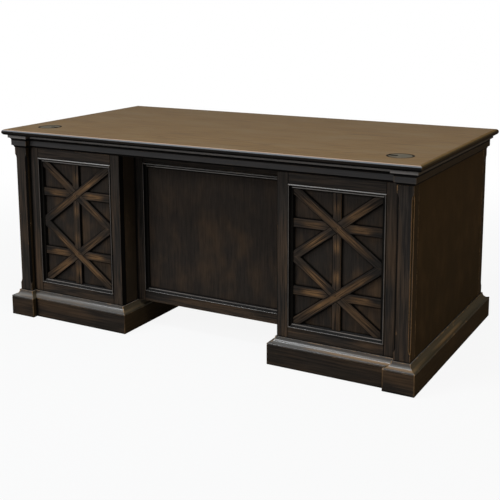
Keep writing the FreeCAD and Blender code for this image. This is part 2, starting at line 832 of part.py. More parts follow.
def build_centre_drawer(nodes):
    """The tray, its drop front, hinges, pulls and runners; returns the channels that it runs in."""
    half_front = inner_x - centre_side_gap
    face = face_y + frieze_step
    back = face - centre_front_thickness
    top = under_top - centre_top_gap
    low = top - centre_front_height
    tray_under = low + tray_lift
    tray_front = back - tray_front_gap
    tray_back = tray_front - tray_depth
    axis_y = back - hinge_radius - hinge_clearance
    axis_z = tray_under - hinge_radius - hinge_clearance
    level = tray_under + tray_slide_rise
    flap = board((-half_front, half_front), (back, face), (low, top))
    show_edges = [edge for edge in flap.Edges if edge.BoundBox.YMin > face - front_edge_fall]
    nodes["centre_drop_front"] = flap.makeChamfer(front_edge_fall, front_edge_width, show_edges).Solids

    outer = inner_x - slide_gap
    inside = outer - tray_board
    heights = (tray_under, tray_under + tray_side_height)
    nodes["centre_tray"] = [
        board((-outer, -inside), (tray_back, tray_front), heights),
        board((inside, outer), (tray_back, tray_front), heights),
        board((-inside, inside), (tray_back, tray_back + tray_board), heights),
        board((-inside, inside), (tray_back + tray_board, tray_front), (tray_under, tray_under + tray_floor)),
    ]
    places = (-centre_pull_spread / 2, centre_pull_spread / 2)
    nodes["centre_pulls"] = [pull(x, face, (low + top) / 2) for x in places]
    fixed_leaves = []
    flap_leaves = []
    for middle in (hinge_inset - half_front, half_front - hinge_inset):
        fixed, moving = hinge(middle, axis_y, axis_z, tray_under, back)
        fixed_leaves.extend(fixed)
        flap_leaves.append(moving)
    nodes["drop_front_tray_hinges"] = fixed_leaves
    nodes["drop_front_hinge_leaves"] = flap_leaves
    print("drop front hinge axis at y", round(axis_y, 3), "z", round(axis_z, 3))
    pairs = [
        slide_pair(side * inner_x, -side, tray_front, tray_slide_length, level) for name, side in SIDES
    ]
    nodes["centre_runners"] = [runner for channel, runner in pairs]
    return [channel for channel, runner in pairs]


def build_pedestal(nodes, name, side):
    """Everything of one pedestal but its drawers."""
    heights = (glide_height, pedestal_top)
    ends = (side * inner_x, side * post_x)
    frame = framed_panel(ends, front_stile, heights, cap_top - rail_tuck, -face_y, front_recess)
    nodes[name + "_outer_side"] = outer_side(side)
    nodes[name + "_inner_side"] = inner_side(side)
    nodes[name + "_corner_posts"] = corner_posts(side)
    nodes[name + "_front_frame"], nodes[name + "_field_panel"], nodes[name + "_panel_moulding"] = frame
    nodes[name + "_lattice"] = lattice(side)
    nodes[name + "_face_frame"] = face_frame(side)
    nodes[name + "_plinth"] = plinth(side)
    nodes[name + "_plinth_cap"] = plinth_cap(side)
    nodes[name + "_grommet_cap"] = grommet_cap(side)


def build_desk():
    """Every node of the desk, as lists of solids by name."""
    nodes = {
        "top_panel": top_panel(),
        "top_lipping": top_lipping(),
        "cornice_moulding": cornice(),
        "frieze_moulding": frieze(),
        "top_frame": top_frame(),
        "grommet_liners": [grommet_liner(side) for name, side in SIDES],
        "pedestal_bottoms": [bottom_board(side) for name, side in SIDES],
        "floor_glides": floor_glides(),
        "slide_cleats": [cleat for name, side in SIDES for cleat in slide_cleats(side)],
    }
    channels = []
    hardware = []
    drawers = [
        ("_utility", utility_low, utility_high, utility_box_height),
        ("_file", file_low, file_high, file_box_height),
    ]
    for name, side in SIDES:
        build_pedestal(nodes, name, side)
        for kind, low, high, box_height in drawers:
            channels.extend(build_drawer(nodes, name + kind, side, low, high, box_height))
        box_ends = (side * (bay_inner + slide_gap), side * (bay_outer - slide_gap))
        nodes[name + "_file_rails"] = hanging_rails(box_ends, file_low + box_lift + file_box_height)
        hardware.extend(top_brackets(side) + front_bolts(side))
    channels.extend(build_centre_drawer(nodes))
    nodes["slide_channels"] = channels
    nodes["joining_hardware"] = hardware

    heights = (modesty_low, under_top)
    ends = (-inner_x, inner_x)
    modesty = framed_panel(ends, modesty_stile, heights, modesty_low, -modesty_y, modesty_recess)
    frame, panel, moulding = modesty
    holes = [hole for name, side in SIDES for hole in bolt_holes(side)]
    nodes["modesty_frame"] = [member.cut(holes) for member in frame]
    nodes["modesty_panel"] = panel
    nodes["modesty_moulding"] = moulding
    return nodes


os.makedirs("parts", exist_ok=True)
desk = build_desk()
for node, shapes in desk.items():
    solids = [solid for shape in shapes for solid in shape.Solids]
    whole = solids[0] if len(solids) == 1 else Part.makeCompound(solids)
    whole.exportStep("parts/" + node + ".step")
    print(node, len(solids), "solids", "valid" if whole.isValid() else "not valid")
print(len(desk), "nodes")
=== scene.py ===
# %% [markdown]
# # A double pedestal desk, from its frame to its finish
# The real desk has a panelled front and two pedestals of drawers, painted black and rubbed back, under a
# brown veneered top. Its solids come from CAD. They could be modelled again in Blender, but they are
# exact, and the joints of the drawers hang on them, so this lesson leaves every shape alone. It gives
# each surface its finish, lights the desk and places a camera to photograph it. The box of the frame is
# kept.

# %% Load the frame
import math

import bpy
from mathutils import Color, Matrix, Vector


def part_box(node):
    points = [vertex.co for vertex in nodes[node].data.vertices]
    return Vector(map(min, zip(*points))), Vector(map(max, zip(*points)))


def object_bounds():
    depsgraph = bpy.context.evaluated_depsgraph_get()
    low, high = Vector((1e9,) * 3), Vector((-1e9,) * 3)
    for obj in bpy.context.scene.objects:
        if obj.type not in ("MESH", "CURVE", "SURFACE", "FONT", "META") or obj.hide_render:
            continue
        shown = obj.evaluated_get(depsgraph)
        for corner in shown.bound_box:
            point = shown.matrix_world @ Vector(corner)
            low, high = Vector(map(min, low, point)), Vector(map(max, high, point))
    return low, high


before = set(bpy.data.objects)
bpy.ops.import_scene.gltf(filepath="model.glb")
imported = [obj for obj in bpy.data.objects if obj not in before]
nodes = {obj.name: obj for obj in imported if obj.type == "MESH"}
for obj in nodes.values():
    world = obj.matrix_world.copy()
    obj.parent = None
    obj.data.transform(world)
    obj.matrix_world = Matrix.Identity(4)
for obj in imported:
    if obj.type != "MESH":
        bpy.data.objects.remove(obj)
cad_low, cad_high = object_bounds()
MM = 0.001
print("pieces in the frame:", len(nodes), "size in mm:", [round(v / MM) for v in cad_high - cad_low])

# %% [markdown]
# ## Writing shader maths as Python
# A finish is a graph of nodes. It could be wired by hand in the editor, but a long graph is hard to read
# and to change there. Small classes turn it into expressions instead. A `Wire` stands for the output of a
# node, and its operators add Math nodes, so that a mask can be written as `1 - worn * dust`.

# %% Wires
class Wire:
    """The output of a node, which Python expressions can work on."""

    def __init__(self, graph, socket):
        self.graph = graph
        self.socket = socket

    def maths(self, operation, *values):
        return self.graph.add("ShaderNodeMath", {"operation": operation}, values)

    def __add__(self, other):
        return self.maths("ADD", self, other)

    def __sub__(self, other):
        return self.maths("SUBTRACT", self, other)

    def __rsub__(self, other):
        return self.maths("SUBTRACT", other, self)

    def __mul__(self, other):
        return self.maths("MULTIPLY", self, other)

    def __truediv__(self, other):
        return self.maths("DIVIDE", self, other)

    def __pow__(self, other):
        return self.maths("POWER", self, other)

    def __lt__(self, other):
        return self.maths("LESS_THAN", self, other)

    def __gt__(self, other):
        return self.maths("GREATER_THAN", self, other)

    def __abs__(self):
        return self.maths("ABSOLUTE", self)

    __radd__ = __add__
    __rmul__ = __mul__

    def least(self, other):
        return self.maths("MINIMUM", self, other)

    def most(self, other):
        return self.maths("MAXIMUM", self, other)

    def whole(self):
        return self.maths("FLOOR", self)

    def toward(self, other, share):
        """This value where the share is 0, and the other one where it is 1."""
        return self + (other - self) * share

    def rise(self, start, end):
        """A smooth step from 0 at the start to 1 at the end, in either direction."""
        settings = {"interpolation_type": "SMOOTHSTEP"}
        span = {"Value": self, "From Min": start, "From Max": end}
        return self.graph.add("ShaderNodeMapRange", settings, span)


def blend(weights, *fields):
    """Wires, each with its weight, added up."""
    parts = [field * weight for field, weight in zip(fields, weights)]
    return sum(parts[1:], parts[0])


print("a wire has", sum(callable(word) for word in vars(Wire).values()), "methods and operators")

# %% [markdown]
# A `Graph` owns one tree of nodes. Its `add` method makes any node from its type, its settings and the
# values of its sockets. The methods after it are short names for what comes up again and again. The light
# of the world is such a tree too, so one class serves both it and the materials.

# %% Graphs
NOISE_ROUGH = 0.55
NOISE_DETAIL = 3.0
SHOWN_TO = ("Is Camera Ray", "Is Glossy Ray", "Is Transmission Ray")


class Graph:
    """One tree of nodes, built up from wires."""

    def __init__(self, tree):
        self.tree = tree

    def feed(self, socket, value):
        """Links a wire to a socket, or sets a plain value on it."""
        if isinstance(value, Wire):
            self.tree.links.new(value.socket, socket)
        else:
            socket.default_value = value

    def add(self, kind, settings=None, sockets=(), out=0):
        """Any node: its settings are set first, then its sockets by name or by number."""
        node = self.tree.nodes.new(kind)
        for key, value in (settings or {}).items():
            setattr(node, key, value)
        pairs = sockets.items() if isinstance(sockets, dict) else enumerate(sockets)
        for key, value in pairs:
            self.feed(node.inputs[key], value)
        return Wire(self, node.outputs[out])

    def split(self, vector):
        """The three numbers of a vector."""
        first = self.add("ShaderNodeSeparateXYZ", None, (vector,))
        return [Wire(self, socket) for socket in first.socket.node.outputs]

    def join(self, x, y, z):
        return self.add("ShaderNodeCombineXYZ", None, (x, y, z))

    def noise(self, vector, detail=NOISE_DETAIL):
        sockets = {"Vector": vector, "Scale": 1.0, "Detail": detail, "Roughness": NOISE_ROUGH}
        return self.add("ShaderNodeTexNoise", None, sockets)

    def tint(self, share, below, above):
        """One colour laid over another; colours go through a Mix node."""
        return self.add("ShaderNodeMix", {"data_type": "RGBA"}, {0: share, 6: below, 7: above}, out=2)

    def seen(self):
        """1 for the rays that show a thing, and 0 for those that carry its light to other things."""
        camera_ray, glossy_ray, clear_ray = (self.add("ShaderNodeLightPath", out=ray) for ray in SHOWN_TO)
        return camera_ray.most(glossy_ray).most(clear_ray)

    def show(self, shader, output):
        """Sends a shader to the tree's output node."""
        self.feed(self.tree.nodes[output].inputs["Surface"], shader)


print("white will be shown to", len(SHOWN_TO), "kinds of ray")

# %% [markdown]
# A `Finish` is the graph of one material. It knows the place and the facing of each point in the frame of
# its piece, so the grain stays in the wood when a drawer slides. Wear needs to know where the edges are.
# They could be painted on each mesh by hand. The Ambient Occlusion node, sent inside the solid, finds
# them without that: close to an arris its rays leave the wood after a few millimetres.

# %% Finishes
EDGE_RAYS = {"inside": True, "only_local": True, "samples": 6}


class Finish(Graph):
    """One material. A rule of grain may mark joints and places of painted shade, both painted near black,
    and lines that are rubbed bare.
    """

    joints = None
    rubs = None

    def __init__(self, name):
        self.material = bpy.data.materials.new(name)
        self.material.use_nodes = True
        super().__init__(self.material.node_tree)
        self.shader = self.tree.nodes["Principled BSDF"]
        self.place = self.add("ShaderNodeTexCoord", out="Object")
        self.facing = self.add("ShaderNodeTexCoord", out="Normal")

    def speckle(self, per_metre, detail=NOISE_DETAIL):
        """Noise of this fineness, the same in all directions."""
        sockets = {0: self.place, "Scale": per_metre}
        return self.noise(self.add("ShaderNodeVectorMath", {"operation": "SCALE"}, sockets), detail)

    def edge(self, reach):
        """1 at an arris, down to 0 where it is further off than the reach."""
        return 1 - self.add("ShaderNodeAmbientOcclusion", EDGE_RAYS, {"Distance": reach}, out="AO")

    def ends(self):
        """1 where a surface faces an end of the desk more than its front or back."""
        out_x, out_y, out_z = self.split(self.facing)
        return abs(out_x) > abs(out_y)

    def relief(self, height, depth, strength):
        sockets = {"Strength": strength, "Distance": depth, "Height": height}
        self.feed(self.shader.inputs["Normal"], self.add("ShaderNodeBump", None, sockets))

    def surface(self, **sockets):
        """Feeds the surface shader; an underscore stands for a space in the name of a socket."""
        for name, value in sockets.items():
            self.feed(self.shader.inputs[name.replace("_", " ")], value)


print("an edge is found with", EDGE_RAYS["samples"], "rays")

# %% [markdown]
# A paint chart gives a colour as a screen shows it, from 0 to 255, but shaders reckon in linear light, so
# every colour is turned once. A piece takes its finish through its material slots. That leaves its mesh
# as it came from CAD, which joining or remodelling the pieces would not.

# %% Colours and dressing
CHART_WHITE = 255
SIDES = ("left", "right")


def ink(red, green, blue):
    """A colour as a paint chart gives it, in the linear light that shaders use."""
    shown = Color([level / CHART_WHITE for level in (red, green, blue)])
    return (*shown.from_srgb_to_scene_linear(), 1.0)


def on_both(*pieces):
    """The names of the same pieces on both pedestals."""
    return [side + "_" + piece for side in SIDES for piece in pieces]


def dress(finish, *names):
    """Gives nodes of the frame their finish."""
    for name in names:
        slots = nodes[name].data.materials
        slots.clear()
        slots.append(finish.material)
    print(finish.material.name, "on", len(names), "pieces")


print("middle grey in linear light:", round(ink(128, 128, 128)[0], 3))

# %% [markdown]
# ## Grain that follows each board
# Paint that has been rubbed back shows the wood, so the direction of the grain matters everywhere:
# upright in stiles, posts and sides, level in rails, and along the run of every moulding. Image maps
# would need each board unwrapped. Here each family of boards gets a rule that turns a point of the desk
# into a length along the grain and a length across it, and the same noise fields then serve every piece.

# %% Clouds, streaks and fibres
CLOUD = (3.5, 9.0, 2.0)  # changes per metre along and across the grain, and the detail of the noise
STREAK = (3.2, 95.0, 4.0)
FIBRE = (11.0, 260.0, 3.0)
GRAIN_BEND = 8 * MM


def wood_noise(finish, along, across, depth, fineness):
    """One field of noise, drawn out along the grain."""
    per_along, per_across, detail = fineness
    return finish.noise(finish.join(along * per_along, across * per_across, depth * per_across), detail)


def wood_fields(finish, along, across, depth):
    """Three fields from coarse to fine: clouds of rubbing, streaks and single fibres."""
    clouds = wood_noise(finish, along, across, depth, CLOUD)
    bent = across + clouds * GRAIN_BEND
    streaks = wood_noise(finish, along, bent, depth, STREAK)
    fibres = wood_noise(finish, along, bent, depth, FIBRE)
    return clouds, streaks, fibres


for label, fineness in (("clouds", CLOUD), ("streaks", STREAK), ("fibres", FIBRE)):
    print(label, "are about", round(1 / fineness[1] / MM), "mm wide")

# %% [markdown]
# Most boards need only a choice of axis. Grain climbs in posts and panels and lies level in drawer
# fronts. A moulding goes round corners, so there the way that the surface faces decides. The cornice and
# the frieze also have a hollow under their upper band, which is painted dark as painted shade.

# %% Rules for boards and runs
PANEL_SHORT = 2.4  # how much shorter the figure of a thin panel is


def upright_grain(finish):
    """Posts: the grain climbs."""
    x, y, z = finish.split(finish.place)
    return z, x + y, x - y


def panel_grain(finish):
    """Thin panels: the grain climbs too, but its figure is short, as in veneer from a slow tree."""
    x, y, z = finish.split(finish.place)
    return z * PANEL_SHORT, x + y, x - y


def level_grain(finish):
    """Drawer fronts, whose grain runs from side to side."""
    x, y, z = finish.split(finish.place)
    return x, z, y


def run_grain(finish):
    """Mouldings and plinths: the grain follows whichever way the length runs."""
    x, y, z = finish.split(finish.place)
    ends = finish.ends()
    inward = y.toward(x, ends)
    return x.toward(y, ends), z + inward, z - inward


def fascia_grain(node, fascia):
    """The rule for a run whose upper band is rubbed and whose hollow below is painted dark as painted
    shade.
    """
    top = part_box(node)[1].z

    def rule(finish):
        x, y, z = finish.split(finish.place)
        # painted shade: the hollow below the upper band
        finish.joints = top - z > fascia
        return run_grain(finish)

    return rule


print("panel figure is", PANEL_SHORT, "times shorter than that of the posts")

# %% [markdown]
# Framed fronts have upright stiles and level rails in one piece of the frame. A rail lies between the
# stiles, so the distance from the middle of the front tells them apart. The same distance marks the
# joint, which shows as a hairline in the paint. A mitred moulding is told apart by its nearest edge, and
# the distance from that edge also finds its hollow.

# %% Rules for frames and panel mouldings
JOINT_LINE = 1.4 * MM
HOLLOW = (3.8 * MM, 9.6 * MM)  # of a panel moulding, from its outer edge
LEDGE_END = 13.2 * MM
LEG_DARK = 0.40  # the least painted shade on the upright legs


def frame_grain(node, stile):
    """The rule for a framed front whose stiles are this wide."""
    low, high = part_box(node)
    middle = abs(low.x + high.x) / 2
    opening = (high.x - low.x) / 2 - stile
    outer_line = opening + stile - JOINT_LINE

    def rule(finish):
        x, y, z = finish.split(finish.place)
        away = abs(abs(x) - middle)
        upright = away > opening
        finish.joints = (abs(away - opening) < JOINT_LINE).most(away > outer_line)
        return x.toward(z, upright), z.toward(x, upright) + upright, y

    return rule


def moulding_grain(node):
    """The rule for a mitred moulding: its legs are upright at the ends and level above and below."""
    low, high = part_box(node)
    middle_x = abs(low.x + high.x) / 2
    middle_z = (low.z + high.z) / 2
    half_x = (high.x - low.x) / 2
    half_z = (high.z - low.z) / 2

    def rule(finish):
        x, y, z = finish.split(finish.place)
        from_end = half_x - abs(abs(x) - middle_x)
        from_top = half_z - abs(z - middle_z)
        upright = from_end < from_top
        inward = from_end.least(from_top)
        past_edge = inward > HOLLOW[0]
        hollow = past_edge * (inward < HOLLOW[1])
        leg = upright * past_edge.most(LEG_DARK)
        # painted shade: the hollow, the inner ledge and the upright legs are painted near black
        finish.joints = hollow.most(inward > LEDGE_END).most(leg)
        return x.toward(z, upright), z.toward(x, upright), y

    return rule


print("a moulding's hollow is", round((HOLLOW[1] - HOLLOW[0]) / MM, 1), "mm wide")

# %% [markdown]
# ## The rubbed black finish
# The real desk is stained brown, painted a warm black, rubbed back by hand and waxed. One flat black
# would look like plastic, and a photograph of the paint would fit one board only. So the finish is built
# as the painter built it, in layers, and each layer is a mask over the same noise fields. The first is
# the coat: near black that drifts to umber with the grain, and on the faces at the ends of the desk a
# dark olive, which is painted shade in warm light.

# %% The black coat
COAL = ink(26, 24, 22)
UMBER = ink(51, 45, 40)
END_SHADE_OLIVE = ink(40, 30, 16)
MID = 0.5  # the middle of a noise field
COAT_MIX = (0.50, 0.50)
COAT_SPAN = (0.36, 0.66)
END_SHADE_SHARE = 0.80


def keep_fields(finish, rule, figure):
    """Keeps the noise fields and the turn of the surface with the finish, for all layers to use."""
    along, across, depth = rule(finish)
    finish.clouds, *strands = wood_fields(finish, along, across, depth)
    finish.streaks, finish.fibres = ((field - MID) * figure + MID for field in strands)
    x, y, finish.height = finish.split(finish.place)
    out_x, out_y, finish.upward = finish.split(finish.facing)
    side = (x > 0) * 2 - 1  # -1 on the left half of the desk and 1 on the right
    finish.outward = out_x * side * abs(out_y)
    finish.at_ends = finish.ends()


def black_coat(finish, coat, end_shade_tone):
    """The paint before anyone has touched it, with a dark olive painted on the end faces as shade."""
    tone = blend(COAT_MIX, finish.streaks, finish.fibres).rise(*COAT_SPAN)
    # painted shade: end faces tinted dark olive, as in the warm side light
    return finish.tint(finish.at_ends * END_SHADE_SHARE, finish.tint(tone, *coat), end_shade_tone)


print("red light from the coat:", round(COAL[0], 4), "to", round(UMBER[0], 4))

# %% [markdown]
# Rubbing takes the flats back to tobacco brown, in clouds that are drawn out along the grain. Feet and
# chairs reach the lower half of the desk, so it is rubbed more. Some pieces bring a mask of their own for
# more brown: on the lattice it is where a hand has polished the strips, and on the outer sides it is
# painted light.

# %% The rub on the flats, and painted light on the sides
TOBACCO = ink(118, 88, 58)
RUB_MIX = (0.50, 0.40, 0.25)
RUB_SPAN = (0.50, 0.78)
RUB_HEIGHT = (0.66, 0.36)  # metres above the floor
RUB_HIGH_UP = 0.45
RUB_LOW_DOWN = 0.75  # more than that, low down
END_CLEAN = 0.75  # share of the rub that end faces lack
GLOW_MIX = (0.40, 0.70)
GLOW_SPAN = (0.40, 0.68)


def rubbed_flats_and_painted_light(finish, rub, extra_rub_and_light):
    """Where the coat is rubbed back to brown, and where painted light makes it browner."""
    cloudy = blend(RUB_MIX, finish.clouds, finish.streaks, finish.fibres).rise(*RUB_SPAN)
    low_down = RUB_HIGH_UP + finish.height.rise(*RUB_HEIGHT) * RUB_LOW_DOWN
    rubbed = cloudy * low_down * (1 - finish.at_ends * END_CLEAN) * rub
    if extra_rub_and_light is None:
        return rubbed
    strands = blend(GLOW_MIX, finish.streaks, finish.fibres).rise(*GLOW_SPAN)
    return (rubbed + extra_rub_and_light(finish) * strands).least(1.0)


rub_at_floor = (RUB_HIGH_UP + RUB_LOW_DOWN) / RUB_HIGH_UP
print("at the floor the rub is", round(rub_at_floor, 1), "times that at the top")

# %% [markdown]
# Arrises are knocked, and the wood shows there as honey. Bare edges all along would look drawn with a
# ruler, so noise breaks them up. The chamfers of the posts that face outward are worn the most, and their
# honey line is also a painted highlight.

# %% The wear on the edges, and the painted chamfer highlight
HONEY = ink(160, 124, 82)
EDGE_REACH = 3.5 * MM
SCUFFS = 28.0  # knocks per metre
CLOUD_PULL = 0.5
SCUFF_PULL = 1.7
KNOCK_SPAN = (0.32, 0.80)
CHAMFER_TURN = (0.30, 0.48)
CHAMFER_EDGE = (0.03, 0.20)
CHAMFER_WEAR_AND_HIGHLIGHT = 2.0


def worn_edges_and_chamfer_highlight(finish, wear):
    """Where knocks have taken the finish off, and the outward chamfers, worn and with a painted
    highlight.
    """
    edge = finish.edge(EDGE_REACH)
    scuffs = finish.speckle(SCUFFS)
    knocks = edge + (finish.clouds - MID) * CLOUD_PULL + (scuffs - MID) * SCUFF_PULL
    # wear and a painted highlight on the chamfers of the posts that face outward
    chamfer_wear_and_highlight = finish.outward.rise(*CHAMFER_TURN) * edge.rise(*CHAMFER_EDGE)
    return knocks.rise(*KNOCK_SPAN).most(chamfer_wear_and_highlight * finish.clouds * CHAMFER_WEAR_AND_HIGHLIGHT) * wear


print("wear reaches", round(EDGE_REACH / MM, 1), "mm in from an arris")

# %% [markdown]
# Last come wax and painted light. Dark wax stays in the quirks of the mouldings, where a cloth can't
# reach, and shade is painted near black there too, on faces that look down and on the chamfers that turn
# away from the light. A pale highlight is painted on the ledges. Ambient Occlusion, this time sent
# outside, finds the quirks, and each piece says how far it looks.

# %% Wax, painted shade and a painted highlight
NEAR_BLACK = ink(9, 8, 7)
LEDGE_HIGHLIGHT_GREY = ink(196, 193, 188)
QUIRK_REACH = 15 * MM
QUIRK_RAYS = 8
QUIRK_SPAN = (0.92, 0.58)
SHADED_UNDERSIDE_TURN = (-0.12, -0.50)
SHADED_CHAMFER_TURN = (-0.30, -0.48)
WAX_AND_SHADE_SHARE = 0.95
LEDGE_HIGHLIGHT_TURN = (0.20, 0.75)


def wax_and_painted_shade(finish, quirk):
    """Where dark wax stays in the quirks, and where shade is painted: on faces that look down and on
    chamfers turned away from the light.
    """
    rays = {"samples": QUIRK_RAYS}
    open_air = finish.add("ShaderNodeAmbientOcclusion", rays, {"Distance": quirk}, out="AO")
    # painted shade: faces that look down are painted near black
    shaded_underside = finish.upward.rise(*SHADED_UNDERSIDE_TURN)
    # painted shade: chamfers that turn away from the key light are painted near black
    away = finish.outward.rise(*SHADED_CHAMFER_TURN)
    return open_air.rise(*QUIRK_SPAN).most(shaded_underside).most(away) * WAX_AND_SHADE_SHARE


def painted_ledge_highlight(finish):
    """Where a pale highlight is painted on faces that look up, except on the end faces."""
    return finish.upward.rise(*LEDGE_HIGHLIGHT_TURN) * (1 - finish.at_ends)


print("wax is looked for within", round(QUIRK_REACH / MM), "mm")

# %% [markdown]
# One function lays all these layers in the painter's order. Its arguments are what differs from piece to
# piece: the rule of grain, how much is rubbed and worn, the polish, and the colours. The lacquer is the
# shader's clear coat, which wax and painted shade, end faces and joints make dull.

# %% All layers together
PORE_SPAN = (0.42, 0.30)
PORE_SHARE = 0.45
BARE_SPAN = (0.38, 0.64)
BARE_AT_ENDS = 0.5
JOINT_AND_SHADE_SHARE = 0.97
END_DULL = 0.97  # share of the polish that end faces lack
PAINT_ROUGH = 0.80
ROUGH_DRIFT = 0.2
END_MATT = 0.20
PAINT_SHINE = 0.02
RELIEF_MIX = (0.6, 0.4)
GRAIN_DEPTH = 0.35 * MM
GRAIN_RELIEF = 0.35


def black_finish(name, rule, rub, wear, polish, figure=1.0, extra_rub_and_light=None, coat=(COAL, UMBER),
                 quirk=QUIRK_REACH, ledge_highlight=0.0, end_shade_tone=END_SHADE_OLIVE):
    """The finish on one family of boards; polish is the weight and the roughness of the lacquer."""
    finish = Finish(name)
    keep_fields(finish, rule, figure)
    colour = black_coat(finish, coat, end_shade_tone)
    colour = finish.tint(rubbed_flats_and_painted_light(finish, rub, extra_rub_and_light), colour, TOBACCO)
    colour = finish.tint(worn_edges_and_chamfer_highlight(finish, wear), colour, HONEY)
    # wax and painted shade: near black in the quirks, under ledges and on chamfers turned from the light
    wax_and_shade = wax_and_painted_shade(finish, quirk)
    pores = finish.fibres.rise(*PORE_SPAN) * PORE_SHARE
    colour = finish.tint(pores.most(wax_and_shade), colour, NEAR_BLACK)
    # painted highlight: pale grey on faces that look up
    colour = finish.tint(painted_ledge_highlight(finish) * ledge_highlight, colour, LEDGE_HIGHLIGHT_GREY)
    dull = wax_and_shade.most(finish.at_ends * END_DULL)
    if finish.rubs is not None:
        patchy = finish.clouds.rise(*BARE_SPAN) * (1 - finish.at_ends * BARE_AT_ENDS)
        colour = finish.tint(finish.rubs * patchy, colour, HONEY)
    # dark joints, and the hollows, legs and walls where shade is painted near black
    if finish.joints is not None:
        colour = finish.tint(finish.joints * JOINT_AND_SHADE_SHARE, colour, NEAR_BLACK)
        dull = dull.most(finish.joints)
    finish.colour = colour
    rough = PAINT_ROUGH + (finish.streaks - MID) * ROUGH_DRIFT + finish.at_ends * END_MATT
    finish.surface(Base_Color=colour, Roughness=rough, Specular_IOR_Level=PAINT_SHINE,
                   Coat_Weight=(1 - dull) * polish[0], Coat_Roughness=polish[1])
    finish.relief(blend(RELIEF_MIX, finish.fibres, finish.streaks), GRAIN_DEPTH, GRAIN_RELIEF)
    return finish


print("paint roughness", PAINT_ROUGH, "and grain", round(GRAIN_DEPTH / MM, 2), "mm deep")

# %% [markdown]
# ## Posts, sides and panels
# The corner posts are solid timber with a satin polish and the hardest wear. The sides and the panels
# between the frames are thin and matt, with a short figure. The outer sides get the warm light of the
# room, and their coat is painted a darker olive as painted shade, with painted light that makes them
# browner towards the top. One shared finish would be simpler, but the boards of a real desk never match
# that well.

# %% Posts and sides
SATIN = (0.10, 0.72)
MATT = (0.03, 0.80)
SIDE_LIGHT_HEIGHT = (0.10, 0.66)  # metres above the floor
SIDE_LIGHT_SHARE = 0.07


def side_painted_light(finish):
    """Painted light: the sides are painted a lighter brown towards the top."""
    return finish.height.rise(*SIDE_LIGHT_HEIGHT) * SIDE_LIGHT_SHARE


post_black = black_finish("post_black", upright_grain, rub=0.25, wear=1.2, polish=SATIN, figure=0.8)
dress(post_black, *on_both("corner_posts"))
# painted shade: a darker olive coat for the outer sides
side_coat_painted_shade = (ink(17, 13, 8), ink(32, 25, 15))
side_black = black_finish("side_black", panel_grain, rub=0.30, wear=0.12, polish=MATT, figure=0.3,
                          extra_rub_and_light=side_painted_light, coat=side_coat_painted_shade)
dress(side_black, *on_both("outer_side"))
inner_coat = (ink(27, 23, 18), ink(46, 38, 30))
inner_black = black_finish("inner_black", panel_grain, rub=0.30, wear=0.12, polish=MATT, figure=0.5,
                           coat=inner_coat, end_shade_tone=ink(44, 36, 27))
dress(inner_black, *on_both("inner_side"))

# %% [markdown]
# The fields behind the lattice and the modesty panel in the kneehole are flat boards held in grooves.
# Nothing knocks them, so they have no wear. Wax and painted shade gather round whatever stands on a
# board, but the strips of the lattice are so close together that they would blacken the whole field. So
# those fields look less far for their quirks than other boards do.

# %% Panels
SHORT_QUIRK = 8 * MM
field_black = black_finish("field_black", panel_grain, rub=0.26, wear=0.0, polish=MATT, figure=0.3,
                           quirk=SHORT_QUIRK)
dress(field_black, *on_both("field_panel"))
modesty_coat = (ink(29, 26, 24), ink(53, 46, 40))
modesty_field = black_finish("modesty_field", panel_grain, rub=0.14, wear=0.0, polish=MATT, figure=0.35,
                             coat=modesty_coat)
dress(modesty_field, "modesty_panel")

# %% [markdown]
# ## Drawer fronts and frames
# Drawer fronts, stiles and rails are solid timber too. The three framed fronts differ only in the width
# of their stiles, so one loop dresses them. A pedestal's rule is measured on the right one, and it serves
# the left one as well, because it works with distances from the middle of a front.

# %% Fronts and frames
PEDESTAL_STILE = 42 * MM
FACE_STILE = 30 * MM
MODESTY_STILE = 37 * MM
front_black = black_finish("front_black", level_grain, rub=0.25, wear=0.75, polish=SATIN)
dress(front_black, *on_both("utility_front", "file_front"), "centre_drop_front")
framed_fronts = (
    ("frame_black", "right_front_frame", PEDESTAL_STILE, on_both("front_frame")),
    ("face_black", "right_face_frame", FACE_STILE, on_both("face_frame")),
    ("modesty_black", "modesty_frame", MODESTY_STILE, ["modesty_frame"]),
)
for name, measured, stile, pieces in framed_fronts:
    rule = frame_grain(measured, stile)
    dress(black_finish(name, rule, rub=0.28, wear=0.40, polish=SATIN, figure=0.8), *pieces)

# %% [markdown]
# ## Cornice, frieze and plinth
# These runs go round the pedestals and break out round the posts. The cornice and the frieze are
# lacquered. The grey light that their upper bands catch is painted light, put in the coat's colour, and
# their hollows below are painted dark as painted shade. A brighter lamp would have greyed every other
# piece.

# %% Cornice, frieze and plinth
LACQUERED = (0.24, 0.45)
FINE_QUIRK = 5 * MM
CORNICE_FASCIA = 12 * MM
FRIEZE_FASCIA = 19 * MM
# painted light: a pale grey coat for the light that the cornice's upper band catches
cornice_coat_painted_sheen = (ink(98, 94, 91), ink(122, 116, 112))
cornice_rule = fascia_grain("cornice_moulding", CORNICE_FASCIA)
cornice_black = black_finish("cornice_black", cornice_rule, rub=0.05, wear=0.05, polish=LACQUERED,
                             figure=0.5, coat=cornice_coat_painted_sheen, quirk=FINE_QUIRK)
dress(cornice_black, "cornice_moulding")
# painted light: a lighter grey coat for the light on the frieze
frieze_coat_painted_sheen = (ink(40, 39, 39), ink(57, 55, 54))
frieze_rule = fascia_grain("frieze_moulding", FRIEZE_FASCIA)
frieze_black = black_finish("frieze_black", frieze_rule, rub=0.10, wear=0.12, polish=LACQUERED,
                            figure=0.5, coat=frieze_coat_painted_sheen, quirk=FINE_QUIRK)
dress(frieze_black, "frieze_moulding")
plinth_coat = (ink(26, 23, 20), ink(49, 42, 36))
plinth_black = black_finish("plinth_black", run_grain, rub=0.22, wear=0.18, polish=MATT, figure=0.6,
                            coat=plinth_coat)
dress(plinth_black, *on_both("plinth"))

